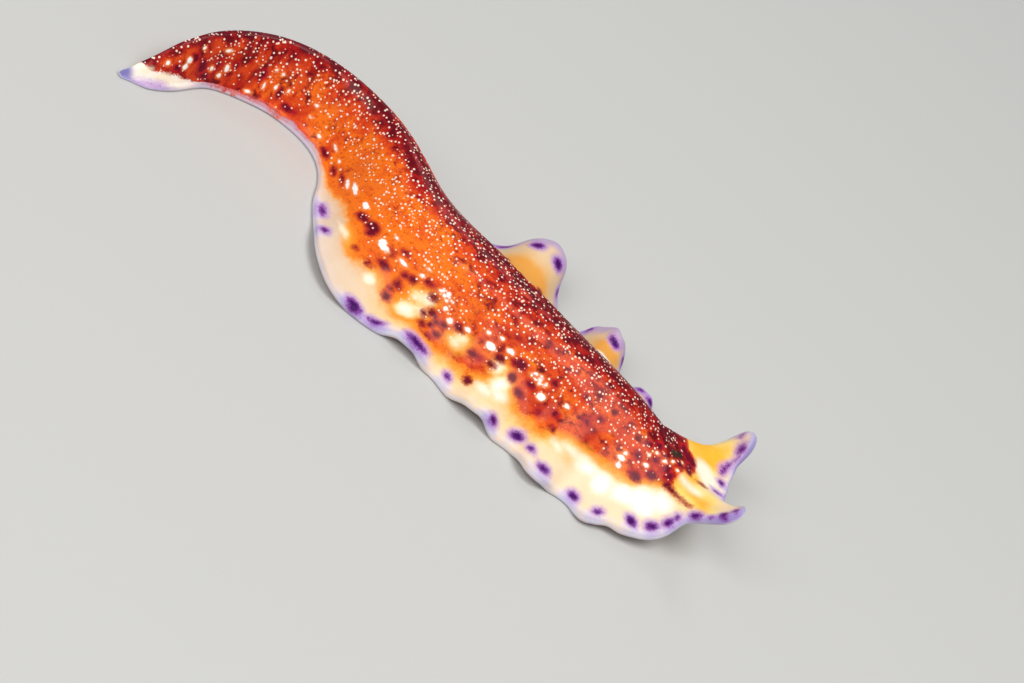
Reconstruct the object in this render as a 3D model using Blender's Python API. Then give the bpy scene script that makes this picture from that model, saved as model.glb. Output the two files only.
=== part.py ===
"""A pseudoceros flatworm, life size, as a still model that lies arched and frilled on a flat floor.

The worm is one sheet of flesh, thick along its midline and thin at its frilled margin. It is laid out
flat first, in millimetres: "back" is the distance behind the front edge along the midline, and "left" is
the distance to the left of the midline. posed() then bends the flat sheet into the upper face of the worm
in the photograph, underside() gives the lower face, and each node is one patch of the sheet between thin
cuts. +X points to the head and +Z up. The origin is the centre of the bounding box's base.
"""

import bmesh
import bpy
import numpy as np

MM = 0.001

# The flat sheet, in millimetres
LENGTH = 52.0  # from the notch between the tentacles to the tip of the tail
HEAD_CENTRE = 6.2  # how far back the ribs of the head fan out from
RIGHT, LEFT = -1, 1
# (place along the margin, distance out to it). On the head a place is a direction of the fan, and
# HEAD_CENTRE is straight sideways. Behind it a place is the distance back.
REACH = {
    RIGHT: (
        (0, 6.2), (0.8, 6.5), (1.35, 7.4), (1.62, 8.4), (1.9, 8.7), (2.2, 8.0), (2.6, 6.8), (3.0, 6.3),
        (3.7, 6.7), (4.8, 6.8), (6.2, 6.7), (10, 7.1), (16, 7.0), (19, 7.1), (24, 7.9), (27.5, 5.9), (31, 3.85),
        (35, 2.8), (40, 2.15), (45, 1.9), (49, 1.6), (51, 1.0), (LENGTH, 0.35),
    ),
    LEFT: (
        (0, 6.2), (0.8, 6.2), (1.5, 6.6), (2.1, 7.3), (2.6, 7.6), (3.0, 7.2), (3.3, 6.0), (3.7, 5.1),
        (4.6, 4.5), (6.2, 4.4), (10, 5.8), (16, 7.2), (22, 7.4), (26, 6.4), (30, 4.7), (34, 3.1),
        (40, 2.2), (45, 1.8), (49, 1.1), (51, 0.7), (LENGTH, 0.35),
    ),
}
# (distance back, thickness of the midline)
THICKNESS = (
    (0, 0.6), (2, 1.0), (6, 1.7), (12, 2.2), (28, 2.3), (37, 2.8), (43, 2.6), (47, 1.9), (50, 1.0), (LENGTH, 0.5),
)
MARGIN_THICKNESS = 0.62
RIM_BULGE = 0.2  # how far the rounded rim stands out past the two faces

# The pose, in millimetres and degrees
FRONT = (22.161, 0.483)  # plan position of the notch between the tentacles
FRONT_HEADING = 185.6  # direction from the front towards the tail
BENDS = ((7, 14, -10), (22, 8, -34), (27, 22, 105))  # (start, length, turn to the left) of the midline
RIDGE = (
    (-4, 2.6), (0, 2.8), (4, 3.6), (8, 4.6), (14, 5.0), (24, 5.0), (30, 5.1), (36, 4.7),
    (42, 4.2), (47, 3.2), (50, 1.9), (LENGTH, 1.0),
)  # (distance back, height of the midline)
HEM_REST = 0.44  # less than the margin's thickness, so that the margin rests on a narrow flat
HEM = {
    RIGHT: ((0, 3.1), (1.9, 3.4), (2.9, 2.9), (4, 1.6), (6, 0.7), (8, HEM_REST), (LENGTH, HEM_REST)),
    LEFT: ((0, 3.1), (2.1, 3.2), (2.9, 2.7), (3.6, 1.4), (4.6, 0.9), (6.2, 0.7), (9, HEM_REST), (LENGTH, HEM_REST)),
}  # (place, height of the margin's upper edge)
# (place, rise, spread outwards, half length)
FRILLS = {
    RIGHT: (
        (6.2, 0.3, 0.7, 1.3), (10.6, 0.7, 0.7, 1.4), (15.1, 0.9, -0.2, 1.5), (20.4, 0.8, -0.3, 1.6),
        (25.6, 0.7, 0.9, 1.7),
    ),
    LEFT: ((7.3, 1.4, 0.5, 1.1), (11.1, 2.6, 0.9, 1.5), (18.9, 2.9, 1.4, 2.3), (26.8, 0.25, 0.1, 2.2)),
}
TENTACLE_ROOT = (3.6, 2.7)  # (forward of the head's centre, out from the midline)
TENTACLE_TIP = {RIGHT: (8.3, 4.1), LEFT: (6.6, 4.5)}
TENTACLE_CURL = 84.0  # how far the tentacle has turned up at its tip
TENTACLE_HALF_WIDTH = 1.9
TENTACLE_FOLD = 0.1  # drop of the tentacle's sides, per millimetre squared from its centre line
FOLD_START, FOLD_LENGTH = -1.5, 3.0  # where the fold begins beside the root, and how far it takes to grow
FRILLS_FROM = 0.35  # share of the way out from which the sheet follows the frills
THIN_FROM = 0.8  # share of the way out beyond which the sheet is as thin as its margin
SLIM = 4.0  # half width below which the tail is too slim for its two sides to lean far inwards

# How the sheet is cut into nodes: places in millimetres, and shares of the way out to the margin
CUT = 0.3
CORE = 0.62
CORE_REACH = 6.2  # half width beyond which the core stays narrow, so that the tentacles are outside it
LENGTHS = ("front", "middle", "rear")
HEAD_END = 9.0
TRUNK_CUTS = (HEAD_END, 16.5, 24.0, 31.5)
TENTACLE_END = 3.9  # place where the tentacle's patch gives way to the side margin
MARGIN_CUTS = (TENTACLE_END, 14.0, 22.5, 31.5)
TAIL_CUTS = (31.5, 39.0, 46.0, LENGTH)

# How finely the patches are divided
SHARE_STEP = 0.125
FAN_STEP = 0.27
TRUNK_STEP = 0.75
FRILL_STEP = 0.5
MARGIN_SHARES = (CORE, 0.73, 0.84, 0.93, 1)
SHARP_ANGLE = 50.0

SLAB = 1.0  # thickness of the flat sheet before it is posed
SLOPE_STEP = 0.02  # how far apart two points are taken to find a slope of the sheet
SPINE_STEP = 0.05
INSIDE = 0.97  # share of the way out that is just inside the margin
BEYOND = 6.0  # the midline is known this far past both of its ends
WELD = 1e-4

FLESH = (0.78, 0.13, 0.03)
HEM_FLESH = (0.80, 0.66, 0.62)
TAIL_FLESH = (0.55, 0.08, 0.03)


def clear_scene():
    for thing in list(bpy.data.objects):
        bpy.data.objects.remove(thing)


def material(name, color):
    made = bpy.data.materials.new(name)
    made.use_nodes = True
    made.diffuse_color = (*color, 1)
    shader = made.node_tree.nodes["Principled BSDF"]
    shader.inputs["Base Color"].default_value = (*color, 1)
    shader.inputs["Roughness"].default_value = 0.3
    shader.inputs["Metallic"].default_value = 0.0
    return made


def ease(t):
    """0 below 0, 1 above 1, and 3t^2 - 2t^3 between."""
    t = np.clip(t, 0, 1)
    return t * t * (3 - 2 * t)


def through(stations, at):
    """A smooth curve through (place, value) stations: cubic between them, and level where values turn."""
    place = np.array([station[0] for station in stations], float)
    value = np.array([station[1] for station in stations], float)
    slope = np.diff(value) / np.diff(place)
    tangent = np.concatenate([slope[:1], (slope[1:] + slope[:-1]) / 2, slope[-1:]])
    tangent[1:-1][slope[1:] * slope[:-1] <= 0] = 0
    at = np.clip(at, place[0], place[-1])
    i = np.clip(np.searchsorted(place, at, side="right") - 1, 0, len(place) - 2)
    width = place[i + 1] - place[i]
    t = (at - place[i]) / width
    start = (2 * t**3 - 3 * t**2 + 1) * value[i] + (t**3 - 2 * t**2 + t) * width * tangent[i]
    end = (3 * t**2 - 2 * t**3) * value[i + 1] + (t**3 - t**2) * width * tangent[i + 1]
    return start + end


def by_side(stations, place, left):
    """The stations of the right where left is negative, and those of the left elsewhere."""
    return np.where(left < 0, through(stations[RIGHT], place), through(stations[LEFT], place))


def midline(back):
    """Plan position of the midline, and the unit vector to its left: the sum of short steps along BENDS."""
    steps = np.arange(-BEYOND, LENGTH + BEYOND, SPINE_STEP)
    heading = np.full_like(steps, FRONT_HEADING)
    for start, length, turn in BENDS:
        heading += turn * ease((steps - start) / length)
    heading = np.radians(heading)
    x = np.cumsum(np.cos(heading)) * SPINE_STEP
    y = np.cumsum(np.sin(heading)) * SPINE_STEP
    x += FRONT[0] - np.interp(0, steps, x)
    y += FRONT[1] - np.interp(0, steps, y)
    here = np.interp(back, steps, heading)
    position = np.stack([np.interp(back, steps, x), np.interp(back, steps, y)], -1)
    return position, np.stack([np.sin(here), -np.cos(here)], -1)


def place_and_share(back, left):
    """Where a point of the flat sheet lies: its place along the margin, and its share of the way out."""
    forward = np.maximum(HEAD_CENTRE - back, 0)
    direction = np.arctan2(np.abs(left), forward) / (np.pi / 2)
    place = np.where(back < HEAD_CENTRE, HEAD_CENTRE * direction, back)
    return place, np.hypot(forward, left) / by_side(REACH, place, left)


def frill(part, place, left):
    """Sum over the frills of their rise (part 1) or spread (part 2) times exp(-|(place - centre) / half|^3)."""
    total = {}
    for side in (RIGHT, LEFT):
        total[side] = sum(row[part] * np.exp(-(np.abs((place - row[0]) / row[3]) ** 3)) for row in FRILLS[side])
    return np.where(left < 0, total[RIGHT], total[LEFT])


def curled(back, left, side):
    """One side's tentacle rolled upwards along an arc, and folded down beside it: new back and left, and rise."""
    root, tip = np.array(TENTACLE_ROOT), np.array(TENTACLE_TIP[side])
    reach = np.linalg.norm(tip - root)
    axis = (tip - root) / reach
    forward = HEAD_CENTRE - back
    out = side * left
    along = (forward - root[0]) * axis[0] + (out - root[1]) * axis[1]
    across = (out - root[1]) * axis[0] - (forward - root[0]) * axis[1]
    window = np.exp(-((np.abs(across) / TENTACLE_HALF_WIDTH) ** 4))
    bend = np.radians(TENTACLE_CURL) / reach
    turned = bend * np.maximum(along, 0)
    shift = (np.sin(turned) / bend - np.maximum(along, 0)) * window
    fold = TENTACLE_FOLD * across**2 * ease((along - FOLD_START) / FOLD_LENGTH)
    rise = ((1 - np.cos(turned)) / bend - fold) * window
    return np.stack([back - shift * axis[0], left + side * shift * axis[1], rise])


def near_edge(share):
    """0 up to FRILLS_FROM of the way out, and 1 at the margin."""
    return ease((share - FRILLS_FROM) / (1 - FRILLS_FROM))


def posed(back, left):
    """The upper face at points of the flat sheet: hem + (ridge - hem) * bell, with frills and tentacles."""
    place, share = place_and_share(back, left)
    bell = 0.5 + 0.5 * np.cos(np.pi * np.clip(share, 0, 1))
    hem = by_side(HEM, place, left)
    z = hem + (through(RIDGE, back) - hem) * bell + frill(1, place, left) * near_edge(share)
    side = np.where(left < 0, RIGHT, LEFT)
    left = left + side * frill(2, place, left) * near_edge(share) * share
    back, left, rise = np.where(left < 0, curled(back, left, RIGHT), curled(back, left, LEFT))
    position, leftward = midline(back)
    plan = position + leftward * left[..., None]
    return np.concatenate([plan, (z + rise)[..., None]], -1)


def underside(back, left):
    """The lower face: the sheet's thickness below the upper one, along a line that leans with the sheet
    near the margin and is upright near the midline, and nowhere below the floor."""
    place, share = place_and_share(back, left)
    step = SLOPE_STEP / 2
    along = posed(back + step, left) - posed(back - step, left)
    across = posed(back, left + step) - posed(back, left - step)
    normal = np.cross(across, along)
    normal /= np.linalg.norm(normal, axis=-1, keepdims=True)
    lean = near_edge(share) * ease(by_side(REACH, place, left) / SLIM)
    normal[..., :2] *= lean[..., None]
    normal /= np.linalg.norm(normal, axis=-1, keepdims=True)
    thicker = (through(THICKNESS, back) - MARGIN_THICKNESS) * (1 - ease(share / THIN_FROM))
    lower = posed(back, left) - normal * (MARGIN_THICKNESS + thicker)[..., None]
    lower[..., 2] = np.maximum(lower[..., 2], 0)
    return lower


def rim(back, left):
    """The margin's rounded edge: halfway between the two faces, and bulged outwards."""
    middle = (posed(back, left) + underside(back, left)) / 2
    centre = np.maximum(back, HEAD_CENTRE)
    just_inside = posed(centre + (back - centre) * INSIDE, left * INSIDE)
    outward = posed(back, left) - just_inside
    outward /= np.linalg.norm(outward, axis=-1, keepdims=True)
    return middle + outward * RIM_BULGE


def on_sheet(side, place, share, inset):
    """Flat (back, left) at a share of the way out to the margin, plus an inset in millimetres. The core
    keeps out of the tentacles: it goes no further out than the core of a body CORE_REACH wide."""
    reach = through(REACH[side], place)
    narrow = np.minimum(reach, CORE_REACH)
    inner = narrow * share
    outer = narrow * CORE + (reach - narrow * CORE) * (share - CORE) / (1 - CORE)
    out = np.where(share < CORE, inner, outer) + inset
    direction = np.radians(90 * np.minimum(place / HEAD_CENTRE, 1))
    behind = np.maximum(place - HEAD_CENTRE, 0)
    return HEAD_CENTRE + behind - out * np.cos(direction), side * out * np.sin(direction)


def add_patch(bm, side, places, shares, insets):
    """A grid over the given places and shares of one side, laid flat: x is minus back, y is left."""
    grid = bmesh.ops.create_grid(bm, x_segments=len(places) - 1, y_segments=len(shares) - 1, size=1)["verts"]
    grid.sort(key=lambda vert: (round(vert.co.x, 5), round(vert.co.y, 5)))
    place, share = np.meshgrid(places, shares, indexing="ij")
    inset = np.meshgrid(places, insets, indexing="ij")[1]
    back, left = on_sheet(side, place, share, inset)
    for vert, x, y in zip(grid, -back.ravel(), left.ravel()):
        vert.co = (x, y, 0)


def move(verts, shape):
    """Sends each vertex from its flat place to where shape() puts it, in metres."""
    flat = np.array([vert.co for vert in verts])
    for vert, point in zip(verts, shape(-flat[:, 0], flat[:, 1]) * MM):
        vert.co = point


def at_level(bm, level):
    return [vert for vert in bm.verts if abs(vert.co.z - level) < SLAB / 4]


def on_rim(edge):
    """Whether an edge of the flat slab stands upright at the margin."""
    low, high = sorted(vert.co.z for vert in edge.verts)
    share = place_and_share(-edge.verts[0].co.x, edge.verts[0].co.y)[1]
    return high - low > SLAB / 2 and share > INSIDE


def thickened(bm):
    """Solidifies the flat sheet into a slab, then sends its two faces and its rim into the pose."""
    bmesh.ops.remove_doubles(bm, verts=bm.verts, dist=WELD)
    bmesh.ops.triangulate(bm, faces=bm.faces)
    bmesh.ops.recalc_face_normals(bm, faces=bm.faces)
    bmesh.ops.solidify(bm, geom=bm.faces[:], thickness=SLAB)
    bmesh.ops.subdivide_edges(bm, edges=[edge for edge in bm.edges if on_rim(edge)], cuts=1)
    bottom = min(vert.co.z for vert in bm.verts)
    levels = [at_level(bm, bottom + up) for up in (0, SLAB / 2, SLAB)]
    for verts, shape in zip(levels, (underside, rim, posed)):
        if verts:
            move(verts, shape)
    bmesh.ops.triangulate(bm, faces=bm.faces)
    bmesh.ops.recalc_face_normals(bm, faces=bm.faces)


def steps(start, end, step):
    return np.linspace(start, end, max(2, round((end - start) / step) + 1))


def places_between(start, end, opens=True, closes=True, step=TRUNK_STEP):
    """Places from start to end, close together on the fan of the head, with half a cut left off each end."""
    start = start + (CUT / 2 if opens else 0)
    end = end - (CUT / 2 if closes else 0)
    if end <= HEAD_CENTRE:
        return steps(start, end, FAN_STEP)
    if start >= HEAD_CENTRE:
        return steps(start, end, step)
    return np.concatenate([steps(start, HEAD_CENTRE, FAN_STEP)[:-1], steps(HEAD_CENTRE, end, step)])


def core_shares():
    return steps(0, CORE, SHARE_STEP)


def inner_patch(bm, start, end, opens=True, closes=True):
    """Both sides of the middle of the body, from the midline out to the cut at CORE."""
    shares = core_shares()
    insets = [0] * (len(shares) - 1) + [-CUT / 2]
    for side in (RIGHT, LEFT):
        add_patch(bm, side, places_between(start, end, opens, closes), shares, insets)


def outer_patch(bm, side, start, end, opens=True, closes=True):
    """One side's margin, from the cut at CORE to the rim."""
    insets = [CUT / 2] + [0] * (len(MARGIN_SHARES) - 1)
    add_patch(bm, side, places_between(start, end, opens, closes, FRILL_STEP), MARGIN_SHARES, insets)


def whole_patch(bm, start, end, opens=True, closes=True):
    """The full width of the tail."""
    shares = np.concatenate([core_shares()[:-1], MARGIN_SHARES])
    for side in (RIGHT, LEFT):
        add_patch(bm, side, places_between(start, end, opens, closes), shares, [0] * len(shares))


def add_node(name, color, collection, lay_out):
    """One named node: lay_out puts its patches of the flat sheet into the bmesh, which is then posed."""
    bm = bmesh.new()
    lay_out(bm)
    thickened(bm)
    mesh = bpy.data.meshes.new(name)
    bm.to_mesh(mesh)
    bm.free()
    mesh.shade_smooth()
    mesh.set_sharp_from_angle(angle=np.radians(SHARP_ANGLE))
    mesh.materials.append(material(name, color))
    thing = bpy.data.objects.new(name, mesh)
    collection.objects.link(thing)
    return thing


def add_head(collection):
    add_node("head", FLESH, collection, lambda bm: inner_patch(bm, 0, HEAD_END, opens=False))
    for side, word in ((RIGHT, "right"), (LEFT, "left")):
        add_node(
            f"pseudotentacle_{word}", HEM_FLESH, collection,
            lambda bm, side=side: outer_patch(bm, side, 0, TENTACLE_END),
        )


def add_trunk(collection):
    for word, start, end in zip(LENGTHS, TRUNK_CUTS, TRUNK_CUTS[1:]):
        add_node(f"trunk_{word}", FLESH, collection, lambda bm, a=start, b=end: inner_patch(bm, a, b))


def add_margins(collection):
    for side, side_word in ((RIGHT, "right"), (LEFT, "left")):
        for word, start, end in zip(LENGTHS, MARGIN_CUTS, MARGIN_CUTS[1:]):
            add_node(
                f"margin_{side_word}_{word}", HEM_FLESH, collection,
                lambda bm, side=side, a=start, b=end: outer_patch(bm, side, a, b),
            )


def add_tail(collection):
    for word, start, end in zip(("base", "middle", "tip"), TAIL_CUTS, TAIL_CUTS[1:]):
        add_node(
            f"tail_{word}", TAIL_FLESH, collection,
            lambda bm, a=start, b=end: whole_patch(bm, a, b, closes=b < LENGTH),
        )


def main():
    clear_scene()
    worm = bpy.data.collections.new("pseudoceros_flatworm")
    bpy.context.scene.collection.children.link(worm)
    add_head(worm)
    add_trunk(worm)
    add_margins(worm)
    add_tail(worm)


main()
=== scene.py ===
# %% [markdown]
# # A pseudoceros flatworm, life size, on a pale floor
#
# A flatworm is one sheet of wet, soft flesh: thick along its middle, thin at its frilled margin, and with
# two folds of the front margin standing up as tentacles. The imported frame holds that sheet as rigid
# lengths with thin cuts between them. This lesson lays one unbroken skin in their place and paints it.
#
# The frame comes first.

import bpy
import numpy as np
from mathutils import Matrix, Vector


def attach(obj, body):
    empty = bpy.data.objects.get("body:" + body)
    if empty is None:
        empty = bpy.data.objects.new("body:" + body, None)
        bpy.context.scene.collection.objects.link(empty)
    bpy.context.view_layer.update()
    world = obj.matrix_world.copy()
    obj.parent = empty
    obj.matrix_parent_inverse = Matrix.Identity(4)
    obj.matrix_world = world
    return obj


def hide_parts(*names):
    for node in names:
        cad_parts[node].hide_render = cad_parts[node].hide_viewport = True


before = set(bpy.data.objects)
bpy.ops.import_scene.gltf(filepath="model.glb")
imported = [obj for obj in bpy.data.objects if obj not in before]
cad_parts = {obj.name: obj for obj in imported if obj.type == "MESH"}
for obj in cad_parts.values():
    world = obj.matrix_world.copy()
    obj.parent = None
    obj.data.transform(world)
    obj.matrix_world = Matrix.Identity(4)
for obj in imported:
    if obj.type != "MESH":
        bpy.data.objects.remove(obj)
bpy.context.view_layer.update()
print("nodes in the frame:", sorted(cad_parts))

# %% [markdown]
# ## The sheet laid out flat
#
# The skin could be sculpted freely, or shrunk onto the cut solids, but either would lose the exact places
# of the margin and the tentacles. The solids were bent from a flat sheet by a few formulas, so the same
# values and formulas are repeated here. The skin then lies where the solids are, and only small touches at
# the margin, the tentacles and the tail are added to it further on.
#
# All of it is worked out in millimetres. "back" is the distance behind the front edge along the midline,
# "left" is the distance to the left of the midline, and a "place" is where a point of the margin lies.

# %% Values of the flat sheet
MM = 0.001
LENGTH = 52.0  # from the notch between the tentacles to the tip of the tail
HEAD_CENTRE = 6.2  # how far back the ribs of the head fan out from
RIGHT, LEFT = -1, 1
# (place along the margin, distance out to it). On the head a place is a direction of the fan, and
# HEAD_CENTRE is straight sideways. Behind it a place is the distance back.
REACH = {
    RIGHT: (
        (0, 6.2), (0.8, 6.5), (1.35, 7.4), (1.62, 8.4), (1.9, 8.7), (2.2, 8.0), (2.6, 6.8), (3.0, 6.3),
        (3.7, 6.7), (4.8, 6.8), (6.2, 6.7), (10, 7.1), (16, 7.0), (19, 7.1), (24, 7.9), (27.5, 5.9),
        (31, 3.85), (35, 2.8), (40, 2.15), (45, 1.9), (49, 1.6), (51, 1.0), (LENGTH, 0.35),
    ),
    LEFT: (
        (0, 6.2), (0.8, 6.2), (1.5, 6.6), (2.1, 7.3), (2.6, 7.6), (3.0, 7.2), (3.3, 6.0), (3.7, 5.1),
        (4.6, 4.5), (6.2, 4.4), (10, 5.8), (16, 7.2), (22, 7.4), (26, 6.4), (30, 4.7), (34, 3.1), (40, 2.2),
        (45, 1.8), (49, 1.1), (51, 0.7), (LENGTH, 0.35),
    ),
}
THICKNESS = (  # (distance back, thickness of the midline)
    (0, 0.6), (2, 1.0), (6, 1.7), (12, 2.2), (28, 2.3), (37, 2.8), (43, 2.6), (47, 1.9), (50, 1.0),
    (LENGTH, 0.5),
)
MARGIN_THICKNESS = 0.62
RIM_BULGE = 0.2  # how far the rounded rim stands out past the two faces
CORE = 0.62  # share of the way out where the solids are cut
CORE_REACH = 6.2  # half width beyond which the core stays narrow, so that the tentacles are outside it

# %% Values of the pose
FRONT = (22.161, 0.483)  # plan position of the notch between the tentacles
FRONT_HEADING = 185.6  # direction from the front towards the tail, in degrees
BENDS = ((7, 14, -10), (22, 8, -34), (27, 22, 105))  # (start, length, turn to the left) of the midline
RIDGE = (  # (distance back, height of the midline)
    (-4, 2.6), (0, 2.8), (4, 3.6), (8, 4.6), (14, 5.0), (24, 5.0), (30, 5.1), (36, 4.7), (42, 4.2),
    (47, 3.2), (50, 1.9), (LENGTH, 1.0),
)
REST = 0.44  # less than the margin's thickness, so that the margin rests on a narrow flat
HEM = {  # (place, height of the margin's upper edge)
    RIGHT: ((0, 3.1), (1.9, 3.4), (2.9, 2.9), (4, 1.6), (6, 0.7), (8, REST), (LENGTH, REST)),
    LEFT: ((0, 3.1), (2.1, 3.2), (2.9, 2.7), (3.6, 1.4), (4.6, 0.9), (6.2, 0.7), (9, REST), (LENGTH, REST)),
}
FRILLS = {  # (place, rise, spread outwards, half length)
    RIGHT: (
        (6.2, 0.3, 0.7, 1.3), (10.6, 0.7, 0.7, 1.4), (15.1, 0.9, -0.2, 1.5), (20.4, 0.8, -0.3, 1.6),
        (25.6, 0.7, 0.9, 1.7),
    ),
    LEFT: ((7.3, 1.4, 0.5, 1.1), (11.1, 2.6, 0.9, 1.5), (18.9, 2.9, 1.4, 2.3), (26.8, 0.25, 0.1, 2.2)),
}
FRILLS_FROM = 0.35  # share of the way out from which the sheet follows the frills
THIN_FROM = 0.8  # share of the way out beyond which the sheet is as thin as its margin
SLIM = 4.0  # half width below which the tail is too slim for its two sides to lean far inwards

# %% Values of the tentacles
TENTACLE_ROOT = (3.6, 2.7)  # (forward of the head's centre, out from the midline)
TENTACLE_TIP = {RIGHT: (8.3, 4.1), LEFT: (6.6, 4.5)}
TENTACLE_CURL = 84.0  # how far the tentacle has turned up at its tip, in degrees
TENTACLE_HALF_WIDTH = 1.9
TENTACLE_FOLD = 0.1  # drop of the tentacle's sides, per millimetre squared from its centre line
FOLD_START, FOLD_LENGTH = -1.5, 3.0  # where the fold begins beside the root, and how far it takes to grow

# %% [markdown]
# ## Curves through stations
#
# Widths, heights and thicknesses change along the body. Each is written as a few (place, value) stations
# with a smooth cubic through them. A spline object could do the same, but a function of the place can be
# asked for a whole grid of points at once, which is what makes a surface quick to compute with numpy.


# %% Curves through stations
def ease(t):
    """0 below 0, 1 above 1, and 3 t^2 - 2 t^3 between."""
    t = np.clip(t, 0, 1)
    return t * t * (3 - 2 * t)


def through(stations, at):
    """A smooth curve through (place, value) stations: cubic between them, and level where values turn."""
    place = np.array([station[0] for station in stations], float)
    value = np.array([station[1] for station in stations], float)
    slope = np.diff(value) / np.diff(place)
    tangent = np.concatenate([slope[:1], (slope[1:] + slope[:-1]) / 2, slope[-1:]])
    tangent[1:-1][slope[1:] * slope[:-1] <= 0] = 0
    at = np.clip(at, place[0], place[-1])
    i = np.clip(np.searchsorted(place, at, side="right") - 1, 0, len(place) - 2)
    width = place[i + 1] - place[i]
    t = (at - place[i]) / width
    start = (2 * t**3 - 3 * t**2 + 1) * value[i] + (t**3 - 2 * t**2 + t) * width * tangent[i]
    end = (3 * t**2 - 2 * t**3) * value[i + 1] + (t**3 - t**2) * width * tangent[i + 1]
    return start + end


def by_side(stations, place, left):
    """The stations of the right where left is negative, and those of the left elsewhere."""
    return np.where(left < 0, through(stations[RIGHT], place), through(stations[LEFT], place))


print("half width of the right side at 10, 24 and 40 mm:", through(REACH[RIGHT], np.array([10, 24, 40])))

# %% [markdown]
# ## The midline on the floor
#
# Seen from above, the worm is nearly straight behind its head, swings a little one way, and its tail then
# bends back the other way. Turning the heading by eased amounts and adding up short steps gives a line
# that has no kinks and keeps its true length, which points joined by a curve would not.

# %% The midline
SPINE_STEP = 0.05
BEYOND = 6.0  # the midline is known this far past both of its ends


def midline(back):
    """Plan position of the midline, and the unit vector to its left: the sum of short steps along BENDS."""
    steps = np.arange(-BEYOND, LENGTH + BEYOND, SPINE_STEP)
    heading = np.full_like(steps, FRONT_HEADING)
    for start, length, turn in BENDS:
        heading += turn * ease((steps - start) / length)
    heading = np.radians(heading)
    x = np.cumsum(np.cos(heading)) * SPINE_STEP
    y = np.cumsum(np.sin(heading)) * SPINE_STEP
    x += FRONT[0] - np.interp(0, steps, x)
    y += FRONT[1] - np.interp(0, steps, y)
    here = np.interp(back, steps, heading)
    position = np.stack([np.interp(back, steps, x), np.interp(back, steps, y)], -1)
    return position, np.stack([np.sin(here), -np.cos(here)], -1)


print("tip of the tail in plan, mm:", np.round(midline(LENGTH)[0], 2))

# %% [markdown]
# ## Arch, frills and tentacles
#
# The back is an arch that runs out level at the midline and at the margin, which is what half a cosine
# wave does. Frills are soft bumps of the margin that lift it and push it out. A tentacle is a lobe of the
# front margin rolled upwards round an arc, with its sides folded down like a gutter turned over.


# %% Places on the sheet
def place_and_share(back, left):
    """Where a point of the flat sheet lies: its place along the margin, and its share of the way out."""
    forward = np.maximum(HEAD_CENTRE - back, 0)
    direction = np.arctan2(np.abs(left), forward) / (np.pi / 2)
    place = np.where(back < HEAD_CENTRE, HEAD_CENTRE * direction, back)
    return place, np.hypot(forward, left) / by_side(REACH, place, left)


def on_sheet(side, place, share):
    """Flat (back, left) at a share of the way out, in even steps to the core's edge and even steps beyond it.

    The core's edge is at CORE * the reach, or at CORE * CORE_REACH where the reach is larger.
    """
    reach = through(REACH[side], place)
    narrow = np.minimum(reach, CORE_REACH)
    outer = narrow * CORE + (reach - narrow * CORE) * (share - CORE) / (1 - CORE)
    out = np.where(share < CORE, narrow * share, outer)
    direction = np.radians(90 * np.minimum(place / HEAD_CENTRE, 1))
    behind = np.maximum(place - HEAD_CENTRE, 0)
    return HEAD_CENTRE + behind - out * np.cos(direction), side * out * np.sin(direction)


def near_edge(share):
    """0 up to FRILLS_FROM of the way out, and 1 at the margin."""
    return ease((share - FRILLS_FROM) / (1 - FRILLS_FROM))


# %% Frills and tentacles
def frill(part, place, left):
    """Sum over the frills of rise (part 1) or spread (part 2) * exp(-|(place - centre) / half|^3)."""
    total = {}
    for side in (RIGHT, LEFT):
        total[side] = sum(
            row[part] * np.exp(-(np.abs((place - row[0]) / row[3]) ** 3)) for row in FRILLS[side]
        )
    return np.where(left < 0, total[RIGHT], total[LEFT])


def curled(back, left, side):
    """New back and left, and the rise, where one side's tentacle is rolled upwards and folded down beside it.

    A point at "along" on the tentacle's axis goes to sin(bend * along) / bend, and rises by
    (1 - cos(bend * along)) / bend - TENTACLE_FOLD * across^2.
    """
    root, tip = np.array(TENTACLE_ROOT), np.array(TENTACLE_TIP[side])
    reach = np.linalg.norm(tip - root)
    axis = (tip - root) / reach
    forward = HEAD_CENTRE - back
    out = side * left
    along = (forward - root[0]) * axis[0] + (out - root[1]) * axis[1]
    across = (out - root[1]) * axis[0] - (forward - root[0]) * axis[1]
    window = np.exp(-((np.abs(across) / TENTACLE_HALF_WIDTH) ** 4))
    bend = np.radians(TENTACLE_CURL) / reach
    turned = bend * np.maximum(along, 0)
    shift = (np.sin(turned) / bend - np.maximum(along, 0)) * window
    fold = TENTACLE_FOLD * across**2 * ease((along - FOLD_START) / FOLD_LENGTH)
    rise = ((1 - np.cos(turned)) / bend - fold) * window
    return np.stack([back - shift * axis[0], left + side * shift * axis[1], rise])


# %% The upper face
def posed(back, left):
    """The upper face at points of the flat sheet: hem + (ridge - hem) * bell, with frills and tentacles."""
    place, share = place_and_share(back, left)
    bell = 0.5 + 0.5 * np.cos(np.pi * np.clip(share, 0, 1))
    hem = by_side(HEM, place, left)
    z = hem + (through(RIDGE, back) - hem) * bell + frill(1, place, left) * near_edge(share)
    side = np.where(left < 0, RIGHT, LEFT)
    left = left + side * frill(2, place, left) * near_edge(share) * share
    back, left, rise = np.where(left < 0, curled(back, left, RIGHT), curled(back, left, LEFT))
    position, leftward = midline(back)
    plan = position + leftward * left[..., None]
    return np.concatenate([plan, (z + rise)[..., None]], -1)


# %% [markdown]
# ## The lower face and the rounded rim
#
# The flesh has a real thickness, so the skin has an upper face, a lower face and a rim that joins them.
# A Solidify modifier would give one thickness everywhere. Here the lower face is offset by a thickness
# that falls from the middle to the margin, and stops at the floor, where the worm's weight flattens it.

# %% The lower face
SLOPE_STEP = 0.02  # how far apart two points are taken to find a slope of the sheet


def above_floor(points):
    """The same points, with any that lie below the floor lifted to it."""
    points[..., 2] = np.maximum(points[..., 2], 0)
    return points


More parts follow.
